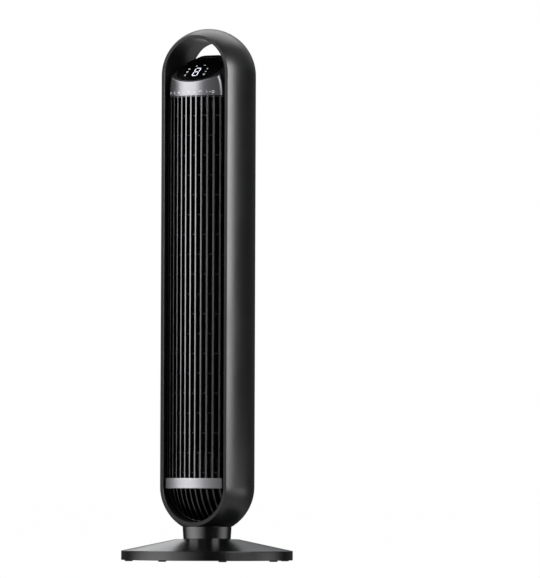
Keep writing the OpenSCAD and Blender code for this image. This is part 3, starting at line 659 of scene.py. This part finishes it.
# marks: strokes of even width, laid as thin raised strips on the lens or on the cap
marks = {"digitAt": (-1.6, -10), "digitWide": 9.8, "digitTall": 22.6, "digitStroke": 1.15, "digitLean": -5,
         "digitGap": 0.6, "digitPoint": 0.12, "stroke": 0.42, "proud": 0.12, "sunk": 0.05, "iconSize": 1.7,
         "touchZ": 812.4, "touchSize": 2.0, "touchStroke": 0.42}
# each lit sign's place on the lens, across and up from the digit, and each touch mark's place along the cap
lensSigns = {"waves": (-20, 9.5), "clock": (-19.5, 0.5), "moon": (-18.5, -9), "blades": (-9.5, 19),
             "swing": (6.5, 19), "drop": (18, 9.5), "more": (19, 0.5), "ring": (19.5, -8)}
capSigns = {"clock": -51, "moon": -38, "waves": -26, "less": -15, "blades": -3, "more": 9, "swing": 20,
            "bar": 32, "dot": 37.5, "ring": 43}


def stroke(points, width, closed=False):
    # left and right edges of a line of that width through flat points
    points = np.array(points, float)
    if closed:
        ahead = np.roll(points, -1, 0) - np.roll(points, 1, 0)
    else:
        ahead = np.gradient(points, axis=0)
    ahead /= np.linalg.norm(ahead, axis=1)[:, None]
    side = np.stack([-ahead[:, 1], ahead[:, 0]], -1) * width / 2
    return points - side, points + side, closed


def strip(line, place):
    # closed raised strip over a stroke; place gives the surface point for across, up and out
    left, right, closed = line
    low, high = -marks["sunk"], marks["proud"]
    ring = [place(*left.T, low), place(*right.T, low), place(*right.T, high), place(*left.T, high)]
    return surface(np.stack(ring, 1), ringed=True, looped=closed, capped=not closed)


def bow(radius, start, end, count=14, centre=(0, 0)):
    return arc(centre, radius, start, end, count)


def hoop(radius):
    return bow(radius, 0, 345, 24)  # the closing line covers the last 15 degrees


# generic pictograms as lists of lines in a square from -1 to 1; True marks a closed line
pictograms = {
    "clock": [(hoop(1), True), ([(0, 0.6), (0, 0), (0.45, 0)], False)],
    "moon": [(np.vstack([bow(1, 60, 300, 16), bow(0.85, 275, 85, 12, (0.5, 0))]), True)],
    "waves": [([(-1, h), (-0.5, h + 0.25), (0, h), (0.5, h - 0.25), (1, h)], False) for h in (-0.6, 0, 0.6)],
    "less": [([(-0.8, 0), (0.8, 0)], False)],
    "more": [([(-0.8, 0), (0.8, 0)], False), ([(0, -0.8), (0, 0.8)], False)],
    "swing": [(bow(1, 30, 150), False), ([(-1.1, 0.1), (-0.87, 0.5), (-0.4, 0.5)], False),
              ([(1.1, 0.1), (0.87, 0.5), (0.4, 0.5)], False)],
    "blades": [(bow(0.5, a, a + 180, 9, bow(0.5, a, a, 1)[0]), False) for a in (90, 210, 330)],
    "drop": [(np.vstack([bow(0.6, 150, 390, 14, (0, -0.3)), [(0, 1)]]), True)],
    "bar": [([(0, -1.1), (0, 1.1)], False)],
    "dot": [(hoop(0.25), True)],
    "ring": [(hoop(1), True)],
}


def pictogram(name, centre, size, width, place):
    # the raised strips of one sign, its square scaled to size about its centre
    parts = []
    for line, closed in pictograms[name]:
        spots = np.array(line, float) * size + centre
        parts.append(strip(stroke(spots, width, closed), place))
    return parts


def onLens(across, up, out):
    # a point over the crowned lens
    return onPanel(across, up, out + lensCrown(across / panel["lensA"], up / panel["lensB"]))


def onCap(across, up, out):
    # a point over the cap's front wall, with across measured round its curve
    turn = across / island["frontRadius"]
    reach = island["frontRadius"] + out
    y = island["frontAxis"] - reach * np.cos(turn)
    return np.stack(np.broadcast_arrays(reach * np.sin(turn), y, up), -1)


def makeMarks():
    m = marks
    w, h, gap, point = m["digitWide"], m["digitTall"], m["digitGap"], m["digitPoint"]
    lean = math.sin(math.radians(m["digitLean"]))
    # the digit's seven bars: three across, and a pair of uprights over each of the first two rows
    bars = []
    for row in (-1, 0, 1):
        middle = np.array([row * h / 2 * lean, row * h / 2])
        bars.append((middle - [w / 2 - gap, 0], middle + [w / 2 - gap, 0]))
        if row < 1:
            up = np.array([lean, math.cos(math.radians(m["digitLean"]))]) * (h / 4 - gap)
            for side in (-1, 1):
                middle = np.array([side * w / 2 + (row + 0.5) * h / 2 * lean, (row + 0.5) * h / 2])
                bars.append((middle - up, middle + up))
    parts = []
    for a, b in bars:
        ends = np.array([a, a + (b - a) * point, b - (b - a) * point, b]) + m["digitAt"]
        left, right, closed = stroke(ends, m["digitStroke"])
        for tip in (0, 3):  # the ends taper
            left[tip] = ends[tip] + (left[tip] - ends[tip]) * point
            right[tip] = ends[tip] + (right[tip] - ends[tip]) * point
        parts.append(strip((left, right, closed), onLens))
    piece("litDigit", parts, segmentGlow, "tower", ["digit_segments"], 30)
    parts = []
    for name, spot in lensSigns.items():
        parts += pictogram(name, np.array(spot) + m["digitAt"], m["iconSize"], m["stroke"], onLens)
    piece("litMarks", parts, markGlow, "tower", ["status_icons"], 30)
    parts = []
    for name, across in capSigns.items():
        parts += pictogram(name, (across, m["touchZ"]), m["touchSize"], m["touchStroke"], onCap)
    piece("touchMarks", parts, touchGlow, "tower", (), 30)


makeMarks()
print("marks made")

# base cover: a low cone on an upright rim, with its edges rounded
base = {"radius": 149, "rimLow": 2, "rimHigh": 18.2, "coneRadius": 55, "top": 38.2, "gapRadius": 42,
        "skin": 2.5, "edge": 0.8, "shoulder": 3, "lip": 0.5, "foot": 0.4, "coneStep": 0.4, "rimStep": 2.1,
        "glandZ": 10, "glandRadius": 4.5, "glandCut": (-12, 8)}


def rounded(corners, count=5):
    # closed outline with each corner (across, up, radius) rounded off; a point just before and just after
    # each corner keeps the straight sides flat to the light
    spots = np.array([corner[:2] for corner in corners], float)
    made = []
    for k, (spot, radius) in enumerate(zip(spots, [corner[2] for corner in corners])):
        if radius == 0:
            made.append(spot)
            continue
        before, after = spots[k - 1] - spot, spots[(k + 1) % len(spots)] - spot
        before, after = before / np.linalg.norm(before), after / np.linalg.norm(after)
        half = math.acos(np.clip(before @ after, -1, 1)) / 2
        middle = (before + after) / np.linalg.norm(before + after)
        centre = spot + middle * radius / math.sin(half)
        tangent = radius / math.tan(half)
        first = spot + before * tangent - centre
        last = spot + after * tangent - centre
        made.append(spot + before * (tangent + cornerLead))
        for share in np.linspace(0, 1, count):
            way = first * (1 - share) + last * share
            made.append(centre + way / np.linalg.norm(way) * radius)
        made.append(spot + after * (tangent + cornerLead))
    return np.array(made)


def turned(outline, count):
    # closed outline of points (distance, height) carried round the upright axis
    turn = np.radians(np.linspace(0, 360, count, endpoint=False))
    return surface(np.stack([outline[:, None, 0] * np.cos(turn), outline[:, None, 0] * np.sin(turn),
                             outline[:, None, 1] * np.ones(count)], -1), ringed=True, looped=True)


def makeBase():
    b = base
    # up the outside and over the cone to the neck's well, then back along the inside of the skin
    inner, under = b["radius"] - b["skin"], b["top"] - b["skin"]
    outline = rounded([
        (b["radius"], b["rimLow"], b["edge"]), (b["radius"], b["rimHigh"], b["edge"]),
        (b["coneRadius"], b["top"], b["shoulder"]), (b["gapRadius"], b["top"], b["lip"]),
        (b["gapRadius"], under, 0), (b["coneRadius"] - b["coneStep"], under, 0),
        (inner, b["rimHigh"] - b["rimStep"], 0), (inner, b["rimLow"], b["foot"])])
    cover = piece("baseCover", [turned(outline, 256)], baseAbs, "stand", ["base_cover"], 50)
    # hole for the cord gland, through the rim at the back
    turn = np.radians(np.linspace(0, 360, 48, endpoint=False))
    across, up = b["glandRadius"] * np.cos(turn), b["glandZ"] + b["glandRadius"] * np.sin(turn)
    points = np.stack([np.stack([across, np.full(48, b["radius"] + y), up], -1) for y in b["glandCut"]])
    vertices, faces = surface(points, ringed=True, capped=True)
    mesh = bpy.data.meshes.new("glandCutter")
    mesh.from_pydata((vertices * mm).tolist(), [], faces)
    cutter = bpy.data.objects.new("glandCutter", mesh)
    bpy.context.collection.objects.link(cutter)
    cut = cover.modifiers.new("glandHole", "BOOLEAN")
    cut.object, cut.solver = cutter, "EXACT"
    bpy.context.view_layer.update()
    holed = bpy.data.meshes.new_from_object(cover.evaluated_get(bpy.context.evaluated_depsgraph_get()))
    cover.modifiers.clear()
    cover.data = holed
    bpy.data.objects.remove(cutter)


makeBase()

# neck: a slightly flared sleeve with crisp corners
neck = {"foot": 25, "footRadius": 40.8, "coverZ": 38.2, "coverRadius": 41.2, "top": 60.3, "topRadius": 42.6,
        "bore": 16, "footBore": 30, "skin": 3, "edge": 0.4}


def makeNeck():
    # up the outside and across the top to the bore, then back along the inside of the skin
    n = neck
    skin, foot, top = n["skin"], n["foot"], n["top"]
    outline = rounded([
        (n["footBore"], foot, 0), (n["footRadius"], foot, 0), (n["coverRadius"], n["coverZ"], 0),
        (n["topRadius"], top, n["edge"]), (n["bore"], top, 0), (n["bore"], top - skin, 0),
        (n["topRadius"] - skin - 0.2, top - skin, 0), (n["coverRadius"] - skin, n["coverZ"], 0),
        (n["footRadius"] - skin, foot + skin, 0), (n["footBore"], foot + skin, 0)])
    piece("neckSleeve", [turned(outline, 192)], neckAbs, "tower", ["neck"], 20)


makeNeck()
print("base and neck made")

# cross-flow impeller: many bowed blades, set aslant between stiffening rings
impeller = {"radius": 42, "axisY": 16, "low": 176, "high": 775, "blades": 36, "chord": 8.6, "bow": 1.1,
            "thick": 0.9, "aslant": 34, "bladeIn": 5.5, "bladeEnd": 1.0, "edge": 0.5, "rings": 5,
            "ringWidth": 10.5, "ringThick": 2.5, "coupling": 9, "hubRadius": 14, "hubLow": 6, "hubHigh": 8,
            "pin": 3, "pinRadius": 7, "pinLow": 10, "pinHigh": 8}


def makeImpeller():
    m = impeller
    # blade section: a shallow bow, with half the thickness on each side of it
    share = np.linspace(-1, 1, 7)
    along, across = share * m["chord"] / 2, m["bow"] * (1 - share ** 2)
    along = np.concatenate([along, along[::-1]])
    across = np.concatenate([across - m["thick"] / 2, across[::-1] + m["thick"] / 2])
    outer, tall, middle = m["radius"] - m["edge"], m["high"] - m["low"], m["radius"] - m["bladeIn"]
    parts = []
    for turn in np.radians(np.arange(m["blades"]) * 360 / m["blades"]):
        swing = turn + math.radians(m["aslant"])
        x = middle * math.cos(turn) + along * math.cos(swing) - across * math.sin(swing)
        y = middle * math.sin(turn) + along * math.sin(swing) + across * math.cos(swing)
        ends = (m["bladeEnd"], tall - m["bladeEnd"])
        points = np.stack([np.column_stack([x, y, np.full(len(x), z)]) for z in ends])
        parts.append(surface(points, ringed=True, capped=True))
    # end discs, with the coupling's hub at the foot and the pin's hub at the head, and plain rings between
    t, bore, hub, low, high = m["ringThick"], m["coupling"], m["hubRadius"], m["hubLow"], m["hubHigh"]
    outlines = [[(bore, 0), (outer, 0), (outer, t), (hub, t), (hub, high), (0, high), (0, low), (bore, low)]]
    bore, hub, low, high = m["pin"], m["pinRadius"], tall - m["pinLow"], tall - m["pinHigh"]
    outlines += [[(bore, tall), (bore, high), (0, high), (0, low), (hub, low), (hub, tall - t),
                  (outer, tall - t), (outer, tall)]]
    inner = outer - m["ringWidth"]
    for k in range(1, m["rings"]):
        foot = k * (tall - t) / m["rings"]
        outlines.append([(inner, foot), (outer, foot), (outer, foot + t), (inner, foot + t)])
    parts += [turned(np.array(outline, float), 96) for outline in outlines]
    placed = [(points + (0, m["axisY"], m["low"]), faces) for points, faces in parts]
    piece("impellerDrum", placed, innerAbs, "rotor", ["impeller"], 35)


makeImpeller()
print("impeller made")


def dressFrame():
    # the frame's own solids get the finish of their slot
    slots = {row["node"]: row["material_slot"] for row in frame["record"]["subparts"]}
    for name, node in frame["nodes"].items():
        node.data.materials.clear()
        node.data.materials.append(slotMaterials[slots[name]])


dressFrame()

# pale floor: white to the eye and matt to the lamps; in reflections it gives off a painted glow near the fan,
# seen low, towards two sides, each with its direction, the cosine it starts at and its power, and is dim
# where seen steeply
paleFloor = {"half": 40, "tint": "f2f2f2", "white": 0.993, "low": (0.14, 0.22), "close": (1.5, 2.0),
             "steep": (0.25, 0.6), "steepPower": (0.06, 0.4),
             "paintedGlows": (((0.545, 0.839, 0), 0.4, 4.6), ((-0.883, -0.469, 0), 0.76, 2.6))}
# backdrop: white to the eye, an even fill for the matt surfaces, and in reflections dim at the level of the
# floor, brighter higher up and behind
studio = {"tint": "f0f2f6", "fill": 0.2, "behind": (-0.75, 0.66, 0.0), "turn": (0.2, 0.9),
          "turnPower": (0.15, 0.6), "rise": (0.05, 0.4), "risePower": (0.2, 1.0)}
pureWhite = (1, 1, 1, 1)


def span(value, source, target=(0.0, 1.0)):
    # inputs of a Map Range node that carries a value from one range to another
    return {"Value": value, "From Min": source[0], "From Max": source[1],
            "To Min": target[0], "To Max": target[1]}


def makeFloor():
    f = paleFloor
    half = f["half"]
    mesh = bpy.data.meshes.new("floor")
    mesh.from_pydata([(-half, -half, 0), (half, -half, 0), (half, half, 0), (-half, half, 0)], [],
                     [(0, 1, 2, 3)])
    material, tree = newMaterial("paleFloor")
    path = addNode(tree, "ShaderNodeLightPath")
    matt = addNode(tree, "ShaderNodeBsdfDiffuse", {"Color": colour(f["tint"])})
    white = addNode(tree, "ShaderNodeEmission", {"Color": pureWhite, "Strength": 1.0})
    share = addNode(tree, "ShaderNodeMath", {0: path.outputs["Is Camera Ray"], 1: f["white"]},
                    operation="MULTIPLY")
    sight = addNode(tree, "ShaderNodeNewGeometry")
    paintedGlows = []
    for side, start, power in f["paintedGlows"]:
        along = addNode(tree, "ShaderNodeVectorMath", {0: sight.outputs["Incoming"], 1: side},
                        operation="DOT_PRODUCT")
        lobe = addNode(tree, "ShaderNodeMapRange", span(along.outputs["Value"], (start, 1.0)))
        square = addNode(tree, "ShaderNodeMath", {0: lobe.outputs["Result"], 1: lobe.outputs["Result"]},
                         operation="MULTIPLY")
        paintedGlows.append(addNode(tree, "ShaderNodeMath", {0: square.outputs["Value"], 1: power},
                              operation="MULTIPLY"))
    total = addNode(tree, "ShaderNodeMath", {k: shine.outputs["Value"] for k, shine in enumerate(paintedGlows)})
    slope = addNode(tree, "ShaderNodeSeparateXYZ", {"Vector": sight.outputs["Incoming"]})
    low = addNode(tree, "ShaderNodeMapRange", span(slope.outputs["Z"], f["low"], (1.0, 0.0)))
    away = addNode(tree, "ShaderNodeVectorMath", {0: sight.outputs["Position"]}, operation="LENGTH")
    close = addNode(tree, "ShaderNodeMapRange", span(away.outputs["Value"], f["close"], (1.0, 0.0)))
    near = addNode(tree, "ShaderNodeMath", {0: low.outputs["Result"], 1: close.outputs["Result"]},
                   operation="MULTIPLY")
    steep = addNode(tree, "ShaderNodeMapRange", span(slope.outputs["Z"], f["steep"], f["steepPower"]))
    shine = addNode(tree, "ShaderNodeMath", {0: total.outputs["Value"], 1: near.outputs["Value"],
                                             2: steep.outputs["Result"]}, operation="MULTIPLY_ADD")
    # painted glow: the floor gives off this light to reflections only
    glow = addNode(tree, "ShaderNodeEmission", {"Color": pureWhite, "Strength": shine.outputs["Value"]})
    calm = addNode(tree, "ShaderNodeMixShader", {0: path.outputs["Is Glossy Ray"], 1: matt.outputs["BSDF"],
                                                 2: glow.outputs["Emission"]})
    both = addNode(tree, "ShaderNodeMixShader", {0: share.outputs["Value"], 1: calm.outputs["Shader"],
                                                 2: white.outputs["Emission"]})
    addNode(tree, "ShaderNodeOutputMaterial", {"Surface": both.outputs["Shader"]})
    mesh.materials.append(material)
    floor = bpy.data.objects.new("floor", mesh)
    bpy.context.collection.objects.link(floor)


def makeBackdrop():
    s = studio
    world = bpy.data.worlds.new("studio")
    world.use_nodes = True
    tree = world.node_tree
    tree.nodes.clear()
    path = addNode(tree, "ShaderNodeLightPath")
    way = addNode(tree, "ShaderNodeTexCoord").outputs["Generated"]
    behind = addNode(tree, "ShaderNodeVectorMath", {0: way, 1: s["behind"]}, operation="DOT_PRODUCT")
    height = addNode(tree, "ShaderNodeSeparateXYZ", {"Vector": way})
    turn = addNode(tree, "ShaderNodeMapRange", span(behind.outputs["Value"], s["turn"], s["turnPower"]),
                   interpolation_type="SMOOTHSTEP")
    rise = addNode(tree, "ShaderNodeMapRange", span(height.outputs["Z"], s["rise"], s["risePower"]),
                   interpolation_type="SMOOTHSTEP")
    level = addNode(tree, "ShaderNodeMath", {0: turn.outputs["Result"], 1: rise.outputs["Result"]},
                    operation="MULTIPLY")
    dim = addNode(tree, "ShaderNodeBackground",
                  {"Color": colour(s["tint"]), "Strength": level.outputs["Value"]})
    fill = addNode(tree, "ShaderNodeBackground", {"Color": pureWhite, "Strength": s["fill"]})
    soft = addNode(tree, "ShaderNodeMixShader", {
        0: path.outputs["Is Glossy Ray"], 1: fill.outputs["Background"], 2: dim.outputs["Background"]})
    white = addNode(tree, "ShaderNodeBackground", {"Color": pureWhite, "Strength": 1.0})
    both = addNode(tree, "ShaderNodeMixShader", {0: path.outputs["Is Camera Ray"], 1: soft.outputs["Shader"],
                                                 2: white.outputs["Background"]})
    addNode(tree, "ShaderNodeOutputWorld", {"Surface": both.outputs["Shader"]})
    bpy.context.scene.world = world


makeFloor()
makeBackdrop()
print("stage made")
